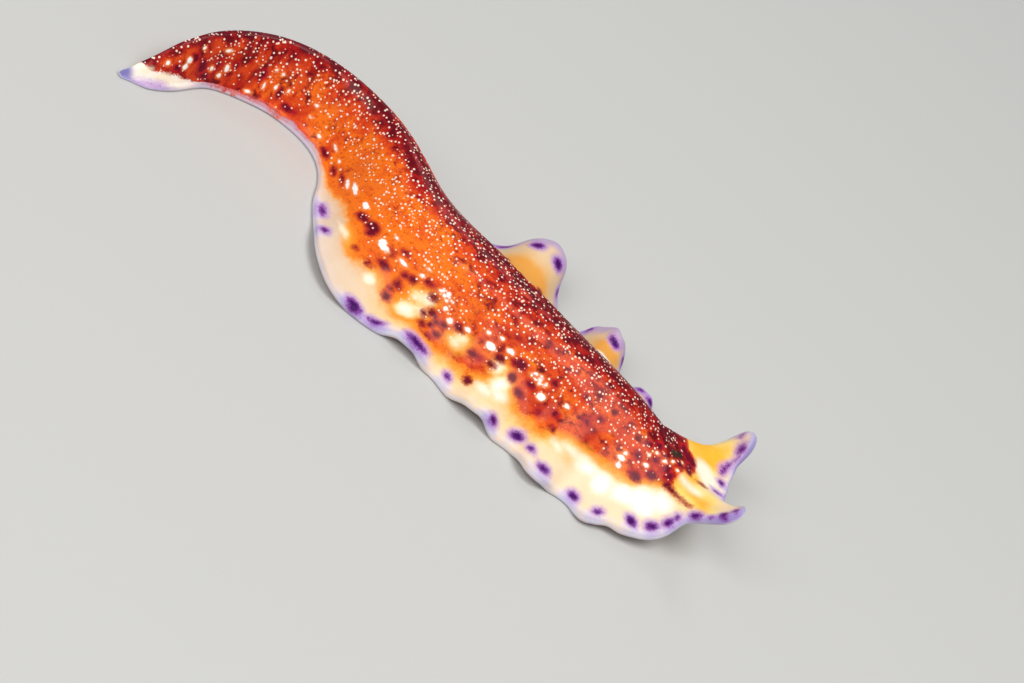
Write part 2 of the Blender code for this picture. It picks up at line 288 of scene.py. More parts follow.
def unit(vectors):
    """Each vector divided by its length."""
    return vectors / np.linalg.norm(vectors, axis=-1, keepdims=True)


def underside(back, left):
    """The lower face: upper face - direction * thickness.

    The direction is straight up at the midline, and square to the sheet at the margin.
    """
    place, share = place_and_share(back, left)
    step = SLOPE_STEP / 2
    along = posed(back + step, left) - posed(back - step, left)
    across = posed(back, left + step) - posed(back, left - step)
    normal = unit(np.cross(across, along))
    lean = near_edge(share) * ease(by_side(REACH, place, left) / SLIM)
    normal[..., :2] *= lean[..., None]
    thicker = (through(THICKNESS, back) - MARGIN_THICKNESS) * (1 - ease(share / THIN_FROM))
    lower = posed(back, left) - unit(normal) * (MARGIN_THICKNESS + thicker)[..., None]
    return above_floor(lower)


# %% The rim
INSIDE = 0.97  # share of the way out that is just inside the margin


def rim(back, left, turn):
    """Half an ellipse round the margin: middle + half thickness * cos(turn) + outward bulge * sin(turn)."""
    top, bottom = posed(back, left), underside(back, left)
    centre = np.maximum(back, HEAD_CENTRE)
    just_inside = posed(centre + (back - centre) * INSIDE, left * INSIDE)
    outward = unit(top - just_inside) * RIM_BULGE
    turn = turn[:, None]
    return above_floor((top + bottom) / 2 + (top - bottom) / 2 * np.cos(turn) + outward * np.sin(turn))


# %% [markdown]
# ## One grid for the whole skin
#
# A grid of rows along the margin and columns across the body is simple to compute, and its two numbers
# make a ready UV map. The head's rows fan out from one point, and the tail's rows follow the midline.
# Each half of the back runs from the midline round the rim, and each half of the belly runs back from the
# rim to the midline. The halves are computed apart and welded where they meet.

# %% Rows and columns
HEAD_ROWS, BODY_ROWS, TIP_ROWS = 96, 366, 8
UPPER_COLUMNS, RIM_COLUMNS, LOWER_COLUMNS = 58, 8, 18
TIP_LENGTH = 0.22  # how far the rounded end of the tail goes past the last row

places = np.concatenate([
    np.linspace(0, HEAD_CENTRE, HEAD_ROWS + 1)[:-1],
    np.linspace(HEAD_CENTRE, LENGTH, BODY_ROWS + 1),
])
upper_shares = np.linspace(0, 1, UPPER_COLUMNS + 1)
rim_turns = np.linspace(0, np.pi, RIM_COLUMNS + 1)
lower_shares = np.linspace(1, 0, LOWER_COLUMNS + 1)


def flat_grid(side, shares):
    """Flat (back, left) of one side at every place and share."""
    place, share = np.meshgrid(places, shares, indexing="ij")
    return on_sheet(side, place, share)


# %% The two faces of one side
SETTLE_FROM, SETTLE_LENGTH = 49.8, 1.6  # where the belly comes down to the floor at the tail's end


def upper_half(side):
    """The upper face of one side and its rim, as a grid of points."""
    back, left = flat_grid(side, upper_shares)
    face = posed(back, left)
    ring = rim(back[:, -1:], left[:, -1:], rim_turns)
    return np.concatenate([face, ring[:, 1:]], axis=1)


def lower_half(side):
    """The lower face of one side, from the end of the rim to the midline."""
    back, left = flat_grid(side, lower_shares)
    face = underside(back, left)
    face[:, 0] = rim(back[:, :1], left[:, :1], rim_turns[-1:])[:, 0]
    face[..., 2] *= 1 - ease((back - SETTLE_FROM) / SETTLE_LENGTH)
    return face


makers = {"upper": upper_half, "lower": lower_half}
halves = {(side, face): make(side) for side in (RIGHT, LEFT) for face, make in makers.items()}
print("grid of one upper half:", halves[RIGHT, "upper"].shape)

# %% [markdown]
# The tail ends in a small round tip. Its rows are the last row again, drawn in towards its own centre by
# the cosine of an angle and moved tailwards by the sine, which is how a ball closes at its pole.


# %% The tip of the tail
TAILWARD_STEP = 0.5  # how far before the end a point is taken to find which way the tail points


def with_tip(grid, centre, tailward):
    """The grid with TIP_ROWS more rows: centre + (last row - centre) * cos(turn) + tailward * sin(turn)."""
    turn = np.linspace(0, np.pi / 2, TIP_ROWS + 1)[1:, None, None]
    rows = centre + (grid[-1] - centre) * np.cos(turn) + tailward * TIP_LENGTH * np.sin(turn)
    return np.concatenate([grid, above_floor(rows)], axis=0)


last = np.array([LENGTH])
end = posed(last, 0 * last)[0]
before_end = posed(last - TAILWARD_STEP, 0 * last)[0]
end_centre = end * (1, 1, 0.5)
tailward = unit((end - before_end) * (1, 1, 0))
halves = {key: with_tip(grid, end_centre, tailward) for key, grid in halves.items()}
print("the tail ends at", np.round(end_centre, 2), "mm and points along", np.round(tailward, 2))

# %% [markdown]
# ## What each point of the skin knows about itself
#
# The paint follows the animal: a dark middle, an orange border, a cream field and a lavender edge. So each
# point carries a few numbers. "zone" is 0 on the midline and 1 where the dark middle ends, "beyond" is how
# many millimetres further out than that it lies, "edge" is the distance in from the margin, and "under" is
# 0 on the back and 1 on the belly. "side", "place" and "share" say where the point is on the flat sheet.

# %% Where the dark middle ends
BORDER = {  # (place, share of the way out)
    RIGHT: (
        (0, 0.6), (1.4, 0.52), (2.4, 0.57), (3.3, 0.62), (4.6, 0.58), (5.4, 0.62), (6.2, 0.57), (7.7, 0.6),
        (9.3, 0.66), (10.9, 0.69), (12, 0.74), (13.7, 0.72), (16, 0.76), (18.5, 0.8), (19.8, 0.88),
        (21, 0.85), (23, 0.8), (24.4, 0.74), (25.5, 0.81), (26.3, 0.75), (27.1, 0.69), (27.9, 0.69),
        (30, 0.85), (32, 0.93), (35, 0.93), (46, 0.92), (47.4, 0.82), (48.2, 0.7), (49.2, 0.56),
        (50.2, 0.36), (50.9, -0.5), (LENGTH, -1.0),
    ),
    LEFT: (
        (0, 0.6), (1.0, 0.55), (1.9, 0.45), (3, 0.48), (6.2, 0.55), (16, 0.56), (22, 0.6), (28, 0.76),
        (32, 0.9), (36, 0.98), (49.6, 0.98), (50.4, 0.6), (50.9, -0.5), (LENGTH, -1.0),
    ),
}


def border_of(side, place):
    """The share of the way out where the dark middle ends, below 0 where there is none."""
    return through(BORDER[side], place)


# %% The numbers of one half
RIM_UV_STEP = 0.1  # how much further out each column of the rim is laid in the UV map
BELLY_EDGE = 0.3  # how far the belly's first column lies from the outermost line of the rim
LEAST_BORDER = 0.01  # keeps a share from being divided by 0 where there is no dark middle


def along_columns(grid):
    """Distance in millimetres along each row, from its first column: the sum of the gaps."""
    gaps = np.linalg.norm(np.diff(grid, axis=1), axis=-1)
    return np.concatenate([np.zeros((len(grid), 1)), np.cumsum(gaps, axis=1)], axis=1)


def all_rows(values):
    """The last row repeated for the rows of the tip."""
    return np.concatenate([values, np.repeat(values[-1:], TIP_ROWS, axis=0)], axis=0)


def with_rim(values):
    """The last column repeated for the columns of the rim."""
    return np.concatenate([values, np.repeat(values[:, -1:], RIM_COLUMNS, axis=1)], axis=1)


def facts_of_half(side, face):
    """Place, share, zone, beyond, edge and under of one half, and its flat position for the UV map.

    zone is share / border, and beyond is (share - border) * the millimetres from midline to margin.
    """
    grid = halves[side, face]
    run = along_columns(grid)
    shares = upper_shares if face == "upper" else lower_shares
    place, share = np.meshgrid(places, shares, indexing="ij")
    back, left = on_sheet(side, place, share)
    if face == "upper":
        place, share, back, left = (with_rim(values) for values in (place, share, back, left))
        wider = np.arange(1, RIM_COLUMNS + 1)
        left[:, UPPER_COLUMNS + 1 :] += side * wider * RIM_UV_STEP
        under = np.concatenate([np.zeros(UPPER_COLUMNS + 1), wider / RIM_COLUMNS])
        across = run[:, UPPER_COLUMNS]
        rim_column = UPPER_COLUMNS + RIM_COLUMNS // 2
        edge = np.abs(run - run[:, rim_column : rim_column + 1])
    else:
        under = np.ones(LOWER_COLUMNS + 1)
        across = run[:, -1]
        edge = run + BELLY_EDGE
    border = border_of(side, place)
    facts = {
        "side": side * np.ones_like(place),
        "place": place,
        "share": share,
        "zone": share / np.maximum(border, LEAST_BORDER),
        "beyond": (share - border) * across[: len(places), None],
        "under": under * np.ones_like(place),
        "back": back,
        "left": left,
    }
    return {name: all_rows(values) for name, values in facts.items()} | {"edge": edge}


# %% [markdown]
# ## From grids to one closed mesh
#
# Four grids meet along the midline, the rims and the fan's first row. Points that fall on the same spot
# are merged by rounding their positions, and triangles that lose a side at the pole of the fan or at the
# tip are dropped. The signed volume then tells whether the faces look outwards.

# %% Put the grids together
ROUNDING = 4  # decimals of a millimetre within which two points are one


def grid_triangles(rows, columns, start, flipped):
    """Two triangles for each cell of a grid whose points are numbered row by row from start."""
    number = start + np.arange(rows * columns).reshape(rows, columns)
    a, b, c, d = number[:-1, :-1], number[1:, :-1], number[1:, 1:], number[:-1, 1:]
    cells = np.stack([a, b, c, a, c, d], -1).reshape(-1, 3)
    return cells[:, ::-1] if flipped else cells


points, facts, triangles = [], {}, []
for (side, face), grid in halves.items():
    triangles.append(grid_triangles(*grid.shape[:2], sum(len(p) for p in points), side == LEFT))
    points.append(grid.reshape(-1, 3))
    for name, values in facts_of_half(side, face).items():
        facts.setdefault(name, []).append(values.ravel())
points, triangles = np.concatenate(points), np.concatenate(triangles)
facts = {name: np.concatenate(values) for name, values in facts.items()}

# %% Weld them
_, first, merged = np.unique(np.round(points, ROUNDING), axis=0, return_index=True, return_inverse=True)
corners = merged.reshape(-1)[triangles]
a, b, c = corners.T
whole = (a != b) & (b != c) & (a != c)
triangles, corners = triangles[whole], corners[whole]
positions = points[first]
fact = {name: values[first] for name, values in facts.items()}

# %% [markdown]
# ## Small touches at the tail and the right tentacle
#
# The solids end bluntly, because a rigid length has to keep some thickness. The real tail ends in a thin
# pointed leaf, and the right tentacle in a thin tip. New stations for the whole sheet would do it, but the
# skin would then leave the solids elsewhere too. So its points are drawn a share of the way towards the
# midline, the floor or the upper face, and only there.


# %% Which side a point is on, and how far along the body
near_side, far_side = fact["side"] < 0, fact["side"] > 0


def past(start, length):
    """For each point of the skin: 0 up to a place, 1 from a length past it on, and eased between."""
    return ease((fact["place"] - start) / length)


def hump(value, centre, half):
    """A soft bump of height 1: exp(-((value - centre) / half)^2)."""
    return np.exp(-(((value - centre) / half) ** 2))


# %% Draw the end of the tail in to a thin leaf
TAPER_FROM, TAPER_LENGTH, NARROWER = 50.2, 1.8, 0.35
LOWER_FROM, LOWER_LENGTH, LOWER = 48.0, 3.4, 0.5
FAR_FROM, FAR_LENGTH, FAR_NARROWER = 45.5, 3.0, 0.75  # the far half of the leaf is the slimmer one
LEAN, SHORTER = 0.15, 0.2  # how far the tip is moved to the right and drawn back
taper = past(TAPER_FROM, TAPER_LENGTH)[:, None]
middle_line = posed(fact["back"], 0 * fact["back"])[:, :2]
positions[:, :2] += (middle_line - positions[:, :2]) * NARROWER * taper
positions[:, 2] *= 1 - LOWER * past(LOWER_FROM, LOWER_LENGTH)
far_half = (far_side * past(FAR_FROM, FAR_LENGTH))[:, None]
positions[:, :2] += (middle_line - positions[:, :2]) * FAR_NARROWER * far_half
to_the_right = -midline(fact["back"])[1] * LEAN
positions[:, :2] += (to_the_right - tailward[:2] * SHORTER) * taper

# %% Thin the flesh at the right tentacle's tip
TIP_PLACE, TIP_HALF, TIP_THINNER = 1.7, 0.4, 0.55
THINNER_FROM = 0.5  # share of the way out from which the flesh is thinner
at_tip = near_side * hump(fact["place"], TIP_PLACE, TIP_HALF)
thinner = TIP_THINNER * at_tip * ease((fact["share"] - THINNER_FROM) / (1 - THINNER_FROM))
positions += (posed(fact["back"], fact["left"]) - positions) * thinner[:, None]


# %% Check which way the faces look
def signed_volume(points, corners):
    """The sum of a . (b x c) / 6 over the triangles: positive where faces look outwards."""
    a, b, c = (points[corners[:, i]] for i in range(3))
    return np.einsum("ij,ij->i", a, np.cross(b, c)).sum() / 6


if signed_volume(positions, corners) < 0:
    triangles, corners = triangles[:, ::-1], corners[:, ::-1]
print(f"{len(positions)} points, {len(corners)} triangles, {signed_volume(positions, corners):.1f} cubic mm")

# %% [markdown]
# ## Marks that were placed one by one
#
# The worm wears white ovals, dark maroon spots and cream patches, purple spots on its margin, and amber
# flesh, pale patches and an eyespot at its head. Painting an image would tie them to one resolution.
# Instead every mark is a place, a share and two half lengths, and each point of the skin stores its
# distance to the nearest mark of each kind. The shader turns that distance into an outline, which stays
# crisp at any zoom and can be roughened.

# %% White ovals
# (place, share of the way out, half length along the body, half width)
OVALS = (
    (6.85, 0.51, 0.3, 0.2), (6.7, 0.565, 0.26, 0.17), (6.8, 0.46, 0.17, 0.12), (4.9, 0.44, 0.22, 0.16),
    (3.05, 0.38, 0.18, 0.13), (2.1, 0.4, 0.2, 0.11), (2.05, 0.5, 0.18, 0.12), (0.65, 0.45, 0.12, 0.1),
    (4.0, 0.3, 0.16, 0.11), (5.0, 0.35, 0.18, 0.1), (11.35, 0.53, 0.24, 0.16), (12.85, 0.6, 0.32, 0.26),
    (15.9, 0.51, 0.32, 0.18), (16.95, 0.58, 0.4, 0.26), (16.8, 0.48, 0.2, 0.14), (17.6, 0.52, 0.2, 0.15),
    (18.6, 0.62, 0.26, 0.17), (19.7, 0.67, 0.25, 0.2), (20.4, 0.64, 0.24, 0.17), (22.8, 0.61, 0.22, 0.14),
    (22.8, 0.54, 0.18, 0.12), (23.9, 0.64, 0.4, 0.17), (25.0, 0.66, 0.6, 0.22), (25.2, 0.64, 0.3, 0.15),
    (25.0, 0.56, 0.22, 0.12), (27.3, 0.56, 0.36, 0.22), (28.7, 0.61, 0.6, 0.18), (29.4, 0.67, 0.5, 0.14),
    (32.0, 0.72, 0.18, 0.12), (33.1, 0.7, 0.2, 0.12), (33.4, 0.69, 0.2, 0.1), (35.0, 0.78, 0.22, 0.12),
    (36.8, 0.57, 0.2, 0.12), (36.6, 0.7, 0.16, 0.1), (39.2, 0.62, 0.1, 0.18), (40.2, 0.65, 0.1, 0.2),
    (41.1, 0.69, 0.11, 0.28), (40.2, 0.5, 0.12, 0.14), (40.8, 0.48, 0.12, 0.14), (42.1, 0.86, 0.3, 0.12),
    (44.4, 0.6, 0.18, 0.3), (44.8, 0.72, 0.16, 0.18), (45.6, 0.62, 0.14, 0.22), (44.8, 0.37, 0.3, 0.12),
    (47.6, 0.46, 0.2, 0.26), (47.8, 0.56, 0.2, 0.2), (49.1, 0.45, 0.2, 0.2), (46.7, 0.3, 0.14, 0.12),
)
CLUSTERS = ((13.6, 0.51), (20.9, 0.57))  # (place, share) of groups of small ovals that touch
CLUSTER_DOTS = (  # (place, share) of each oval, counted from the middle of its group
    (-0.5, 0.0), (-0.2, 0.03), (0.0, -0.02), (0.15, 0.02), (0.35, -0.01), (0.5, 0.02), (-0.1, 0.0),
)
CLUSTER_OVAL = (0.17, 0.12)  # its half length and half width
OVALS += tuple((place + a, share + b, *CLUSTER_OVAL) for place, share in CLUSTERS for a, b in CLUSTER_DOTS)

# %% Dark maroon spots
BLOTS = (
    (5.35, 0.57, 0.48, 0.4), (4.25, 0.5, 0.36, 0.26), (2.9, 0.53, 0.34, 0.3), (2.95, 0.46, 0.34, 0.24),
    (4.05, 0.37, 0.3, 0.26), (3.6, 0.24, 0.3, 0.24), (0.62, 0.74, 0.17, 0.42), (0.2, 0.54, 0.36, 0.26),
    (0.7, 0.56, 0.32, 0.26), (1.2, 0.45, 0.34, 0.2), (5.95, 0.41, 0.26, 0.2), (10.7, 0.37, 0.22, 0.16),
    (9.3, 0.42, 0.28, 0.2), (9.9, 0.51, 0.24, 0.18), (5.6, 0.26, 0.24, 0.18), (20.7, 0.72, 0.4, 0.24),
    (20.7, 0.82, 0.28, 0.2), (20.2, 0.74, 0.3, 0.22), (19.8, 0.72, 0.28, 0.22), (19.7, 0.8, 0.28, 0.24),
    (19.9, 0.86, 0.36, 0.18), (20.3, 0.78, 0.24, 0.2), (21.1, 0.76, 0.26, 0.18), (19.0, 0.65, 0.4, 0.2),
    (21.4, 0.65, 0.3, 0.2), (23.0, 0.66, 0.28, 0.2), (23.4, 0.67, 0.26, 0.18), (17.3, 0.69, 0.4, 0.24),
    (16.9, 0.68, 0.3, 0.22), (16.2, 0.67, 0.36, 0.2), (14.9, 0.53, 0.4, 0.28), (15.2, 0.55, 0.3, 0.2),
    (16.1, 0.6, 0.36, 0.2), (14.8, 0.64, 0.26, 0.26), (13.8, 0.59, 0.34, 0.2), (13.9, 0.68, 0.36, 0.24),
    (12.4, 0.68, 0.22, 0.2), (11.6, 0.63, 0.24, 0.2), (11.2, 0.7, 0.22, 0.18), (12.7, 0.46, 0.26, 0.18),
    (16.5, 0.85, 0.26, 0.26), (23.2, 0.8, 0.36, 0.28), (23.3, 0.72, 0.32, 0.24), (23.4, 0.76, 0.24, 0.18),
    (24.8, 0.77, 0.28, 0.2), (25.6, 0.78, 0.26, 0.18), (26.1, 0.63, 0.6, 0.36), (26.8, 0.63, 0.5, 0.26),
    (25.9, 0.66, 0.36, 0.22), (24.6, 0.65, 0.36, 0.22), (24.2, 0.59, 0.34, 0.2), (24.3, 0.71, 0.5, 0.2),
    (22.2, 0.61, 0.3, 0.18), (31.4, 0.81, 0.4, 0.18), (30.3, 0.72, 0.7, 0.14), (33.6, 0.85, 0.4, 0.16),
    (46.4, 0.58, 0.22, 0.4), (45.2, 0.57, 0.18, 0.36), (43.8, 0.55, 0.2, 0.3), (48.3, 0.58, 0.24, 0.26),
    (47.2, 0.43, 0.2, 0.24), (46.0, 0.75, 0.3, 0.2), (41.6, 0.6, 0.2, 0.4), (39.7, 0.7, 0.16, 0.4),
    (38.5, 0.8, 0.5, 0.2),
)
FRONT_BLOTS = (  # on the left half of the head's front edge
    (1.05, 0.42, 0.42, 0.28), (0.78, 0.48, 0.42, 0.28), (0.6, 0.54, 0.36, 0.26),
)
STREAK_DOTS = 12  # a line of ever smaller dots that runs out behind the right tentacle
STREAK_START, STREAK_CHANGE = (3.15, 0.61, 0.2, 0.18), (-0.58, 0.23, -0.14, -0.12)
BLOTS += tuple(
    tuple(start + change * t for start, change in zip(STREAK_START, STREAK_CHANGE))
    for t in np.linspace(0, 1, STREAK_DOTS)
)

# %% Purple spots, cream patches and amber flesh
PURPLE = {
    RIGHT: (
        (0.1, 0.93, 0.09, 0.3), (1.93, 0.965, 0.2, 0.44), (2.2, 0.985, 0.3, 0.42), (2.42, 1.0, 0.16, 0.12),
        (2.68, 0.985, 0.42, 0.3), (3.12, 0.97, 0.24, 0.22), (3.42, 0.96, 0.38, 0.32),
        (4.0, 0.94, 0.44, 0.34), (4.75, 0.92, 0.42, 0.4), (6.15, 0.94, 0.32, 0.3), (7.8, 0.95, 0.4, 0.36),
        (10.2, 0.94, 0.5, 0.34), (11.4, 0.9, 0.3, 0.24), (12.4, 0.89, 0.46, 0.4), (14.0, 0.98, 0.42, 0.36),
        (17.5, 0.93, 0.28, 0.26), (20.0, 0.98, 1.0, 0.34), (22.6, 0.98, 0.6, 0.3), (23.7, 0.99, 0.7, 0.4),
        (26.8, 0.94, 0.36, 0.3), (28.1, 0.94, 0.6, 0.24), (50.3, 1.0, 0.8, 0.14),
    ),
    LEFT: (
        (0.65, 0.93, 0.28, 0.26), (1.3, 0.9, 0.24, 0.12), (1.47, 0.915, 0.26, 0.13),
        (1.66, 0.945, 0.26, 0.12), (1.85, 0.975, 0.28, 0.12), (2.12, 0.94, 0.24, 0.36),
        (2.62, 0.96, 0.15, 0.24), (2.9, 1.0, 0.5, 0.06), (4.4, 0.96, 0.28, 0.24), (5.6, 0.96, 0.32, 0.26),
        (6.8, 0.92, 0.44, 0.3), (7.7, 0.96, 0.3, 0.22), (9.8, 0.95, 0.44, 0.3), (11.2, 0.86, 0.5, 0.42),
        (12.9, 0.97, 0.32, 0.22), (14.8, 0.95, 0.34, 0.28), (16.6, 0.97, 0.34, 0.26),
        (18.0, 0.91, 0.55, 0.42), (19.9, 0.91, 0.5, 0.36), (21.4, 0.97, 0.6, 0.22), (23.6, 0.96, 0.4, 0.24),
        (25.8, 0.95, 0.42, 0.28), (28.2, 0.96, 0.4, 0.22), (31.0, 0.97, 0.5, 0.2),
    ),
}
CREAM = (
    (3.5, 0.76, 0.8, 1.0), (4.4, 0.74, 1.2, 1.1), (5.6, 0.74, 1.0, 0.9), (6.9, 0.74, 1.0, 0.9),
    (8.2, 0.73, 1.2, 0.6), (9.4, 0.72, 0.9, 0.4), (10.3, 0.76, 0.7, 0.36), (15.8, 0.66, 0.36, 0.36),
    (15.1, 0.74, 0.5, 0.6), (14.6, 0.8, 0.7, 0.5), (15.6, 0.85, 0.7, 0.4), (18.6, 0.72, 0.4, 0.3),
    (18.4, 0.68, 0.3, 0.26), (21.5, 0.68, 0.36, 0.28), (22.1, 0.7, 0.4, 0.28), (22.1, 0.8, 0.6, 0.4),
    (21.4, 0.76, 0.5, 0.26), (24.2, 0.81, 0.5, 0.34), (26.6, 0.79, 0.9, 0.16), (48.6, 0.84, 0.9, 0.14),
    (49.6, 0.74, 0.9, 0.24), (50.4, 0.55, 0.5, 0.34),
)
AMBER = {
    RIGHT: (
        (2.1, 0.8, 0.5, 1.2), (1.9, 0.7, 0.7, 1.2), (1.6, 0.62, 0.7, 0.7), (0.6, 0.65, 0.8, 0.5),
        (2.3, 0.62, 0.5, 0.5),
    ),
    LEFT: (
        (1.7, 0.76, 0.9, 1.5), (2.2, 0.74, 0.8, 1.4), (2.6, 0.64, 0.9, 1.0), (1.2, 0.62, 0.7, 0.5),
        (3.6, 0.7, 0.8, 0.7), (11.1, 0.68, 1.6, 1.3), (18.9, 0.68, 2.6, 1.5), (6.9, 0.68, 1.2, 0.9),
    ),
}
PALE = {  # the groove of the right tentacle, and the patch between the tentacles
    RIGHT: ((1.9, 0.62, 0.2, 0.3), (1.72, 0.66, 0.2, 0.34), (1.54, 0.7, 0.2, 0.3)),
    LEFT: ((0.75, 0.7, 0.6, 0.6), (0.3, 0.78, 0.7, 0.6)),
}
# Two dots near the midline, 2.1 mm in front of the head's centre.
EYESPOT = ((1.0, 0.33, 0.27, 0.27), (0.15, 0.375, 0.27, 0.27))


# %% Distance to the nearest mark
FAR = 2.0  # distances are kept up to this many millimetres
AHEAD = 0.1  # how far past a mark a point is taken to find which way the body runs there
TINY = 1e-12  # keeps numbers from being divided by 0


def to_nearest(side, marks, soft=0.02):
    """The soft least, over the marks, of the distance to an ellipse, below 0 inside it.

    With k the length of (along / long, across / wide), the distance outside is k * (k - 1) / the length of
    (along / long^2, across / wide^2), and inside it is (k - 1) * the smaller half length. A soft least is
    -soft * log(sum of exp(-distance / soft)), which rounds the corner where two marks meet.
    """
    total = np.full(len(positions), np.exp(-FAR / soft))
    for place, share, long, wide in marks:
        centre, ahead = (
            posed(*on_sheet(side, np.array([at]), np.array([share])))[0] for at in (place, place + AHEAD)
        )
        offset = positions - centre
        along = offset @ unit(ahead - centre)
        across = np.sqrt(np.maximum((offset**2).sum(-1) - along**2, 0))
        k = np.hypot(along / long, across / wide)
        outside = k * (k - 1) / np.maximum(np.hypot(along / long**2, across / wide**2), TINY)
        total += np.exp(-np.where(k > 1, outside, (k - 1) * min(long, wide)) / soft)
    return -soft * np.log(total)


# %% [markdown]
# The far flank can't be seen, so it wears the near flank's marks again, slid along the body so that the
# two sides aren't mirror twins. Real flatworms of this kind have the same sorts of marks on both sides.
# "ruffle" is 1 on the far side's ruffles, where the paint is made duller than on the tentacles: painted
# shade, for the ruffles lie in the body's shadow.

# %% Marks of both sides
SLIDE = 0.9  # how far the far side's marks are slid tailwards
SLID_FROM, SLID_TO = 3, 46  # the places between which the far side wears them
SLID_SHARE = 0.75  # what their share of the way out is multiplied by
TAIL_EDGE, RUFFLE_EDGE = 0.1, 0.4  # less lavender on the far side of the tail, more on the far ruffles


def each_side(marks, soft=0.02):
    """The distance to the nearest mark, where each side has marks of its own."""
    return np.minimum(to_nearest(RIGHT, marks[RIGHT], soft), to_nearest(LEFT, marks[LEFT], soft))


def both_sides(marks, soft=0.02):
    """The distance to the near side's marks, and to the same ones slid along on the far side."""
    slid = tuple(
        (place + SLIDE, share * SLID_SHARE, long, wide)
        for place, share, long, wide in marks
        if SLID_FROM < place < SLID_TO
    )
    return each_side({RIGHT: marks, LEFT: slid}, soft)


fact["oval"] = both_sides(OVALS)
fact["blot"] = np.minimum(both_sides(BLOTS), to_nearest(LEFT, FRONT_BLOTS))
fact["cream"] = both_sides(CREAM, 0.12)
fact["pale"] = each_side(PALE, 0.1)
fact["purple"] = each_side(PURPLE)
fact["amber"] = each_side(AMBER, 0.3)
fact["eyespot"] = to_nearest(RIGHT, EYESPOT, 0.06)
on_far_tail = far_side * past(33, 4) * (1 - past(50.2, 0.6))
fact["edge"] = fact["edge"] + TAIL_EDGE * on_far_tail
fact["ruffle"] = far_side * past(4.5, 2) * (1 - past(22, 3))
fact["edge"] = fact["edge"] * (1 - RUFFLE_EDGE * fact["ruffle"])
for name in ("oval", "blot", "cream", "pale", "purple", "amber", "eyespot"):
    print(f"{name}: {np.count_nonzero(fact[name] < 0)} points of the skin lie inside a mark")

# %% [markdown]
# ## How dark each part of the back is
#
# Maroon blotches crowd along the ridge, on the head and on the tail, and thin out over the orange flank.
# "cover" holds how much of the skin they take, so that one noise pattern can be dense here and sparse there.

# %% Cover of maroon
EVERYWHERE, ON_RIDGE, ON_HEAD, ON_TAIL, ON_FLANK = 0.34, 0.42, 0.2, 0.12, -0.32
FEW_DOTS = 0.92  # the zone of the near flank at the tail's end, where hardly any white dots are left

across_back = fact["share"] * fact["side"]
ridge_middle = 0.08 - 0.16 * hump(fact["place"], 33, 6)
ridge_band = hump(across_back, ridge_middle, 0.26)
orange_flank = hump(fact["place"], 28, 7.5) * (1 - ridge_band)
cover_of_all = EVERYWHERE + ON_RIDGE * ridge_band + ON_HEAD * (1 - past(2, 4)) + ON_TAIL * past(36, 7)
fact["cover"] = np.clip(cover_of_all + ON_FLANK * orange_flank, 0, 1)
near_flank = near_side * ease((fact["share"] - 0.15) / 0.2)
fact["zone"] = np.maximum(fact["zone"], FEW_DOTS * near_flank * past(45, 3))
print("mean cover of maroon:", round(float(fact["cover"].mean()), 2))

# %% [markdown]
# ## Soft relief
#
# Cream patches look a little swollen, the margin has shallow puckers between its purple spots, and the far
# side has creases. Such relief has to be in the mesh itself, because a bump map vanishes at the outline.
# Each point is pushed out along its own normal by a few hundredths of a millimetre.

# %% Normals and relief
PUCKER, PUCKER_LENGTH = 0.05, 1.55  # height, and distance from one pucker to the next
SWELL, OVAL_SWELL = 0.07, 0.03
CREASE, CREASE_GAP = 0.08, 0.5  # height, and distance from one crease to the next
CREASED = ((18.5, 4.0), (30.5, 3.0))  # (place, half length) of the creased stretches of the far side


def point_normals(points, corners):
    """Each point's normal: the sum of the cross products of the triangles round it, made one long."""
    a, b, c = (points[corners[:, i]] for i in range(3))
    face = np.cross(b - a, c - a)
    sums = [np.bincount(corners.ravel(), np.repeat(face[:, i], 3), len(points)) for i in range(3)]
    return unit(np.stack(sums, -1) + TINY)


on_back = 1 - ease(fact["under"] * 2)
puckers = np.sin(2 * np.pi * fact["place"] / PUCKER_LENGTH) * ease((fact["share"] - 0.75) / 0.25)
puckers *= past(3, 2) * (1 - past(28, 4))
swell = SWELL * (1 - ease((fact["cream"] + 0.5) / 0.7))
swell += OVAL_SWELL * (1 - ease((fact["oval"] + 0.15) / 0.2))
on_far_side = ease((across_back - 0.02) / 0.2) * (1 - ease((across_back - 0.45) / 0.2))
stretches = sum(np.exp(-(((fact["place"] - place) / half) ** 4)) for place, half in CREASED)
waves = np.sin(2 * np.pi * (fact["beyond"] + 0.25 * np.sin(fact["place"] * 1.3)) / CREASE_GAP)
relief = (PUCKER * puckers + swell + CREASE * waves * on_far_side * stretches) * on_back
positions = above_floor(positions + point_normals(positions, corners) * relief[:, None])
print(f"relief from {relief.min():.3f} to {relief.max():.3f} mm")

# %% [markdown]
# ## Notches and lobes of the margin
#
# The real margin has small dents and lobes that the frills of the solids don't. Each is one soft bump that
# pushes the outer part of the sheet outwards, forwards or up. More stations for the margin's distance would
# draw the same outline, but would also shift the spots that are placed by their share of that distance.

# %% Notches and lobes of the margin
# Each row is (place, how far the margin moves, half length).
NOTCHES = {
    RIGHT: (
        (4.7, -0.15, 0.4), (5.5, -0.6, 0.5), (6.9, 0.15, 0.7), (12.1, -0.45, 0.9), (15.5, 0.3, 1.0),
        (18.0, -0.4, 0.9), (21.9, -0.35, 0.9), (26.6, -0.25, 1.6), (34.0, -0.3, 2.6), (45.4, -0.5, 2.5),
    ),
    LEFT: (
        (1.75, -0.3, 0.3), (2.35, 0.4, 0.4), (9.5, 0.45, 0.5), (10.9, -0.5, 0.6), (12.9, 0.75, 0.7),
    ),
}
FORWARD = {RIGHT: ((1.8, 0.1, 0.5), (1.0, -0.25, 0.45)), LEFT: ((2.5, -0.3, 0.5),)}
UPWARD = {RIGHT: ((1.0, 0.4, 0.45),), LEFT: ((2.5, 0.1, 0.5), (12.9, 0.5, 0.6))}
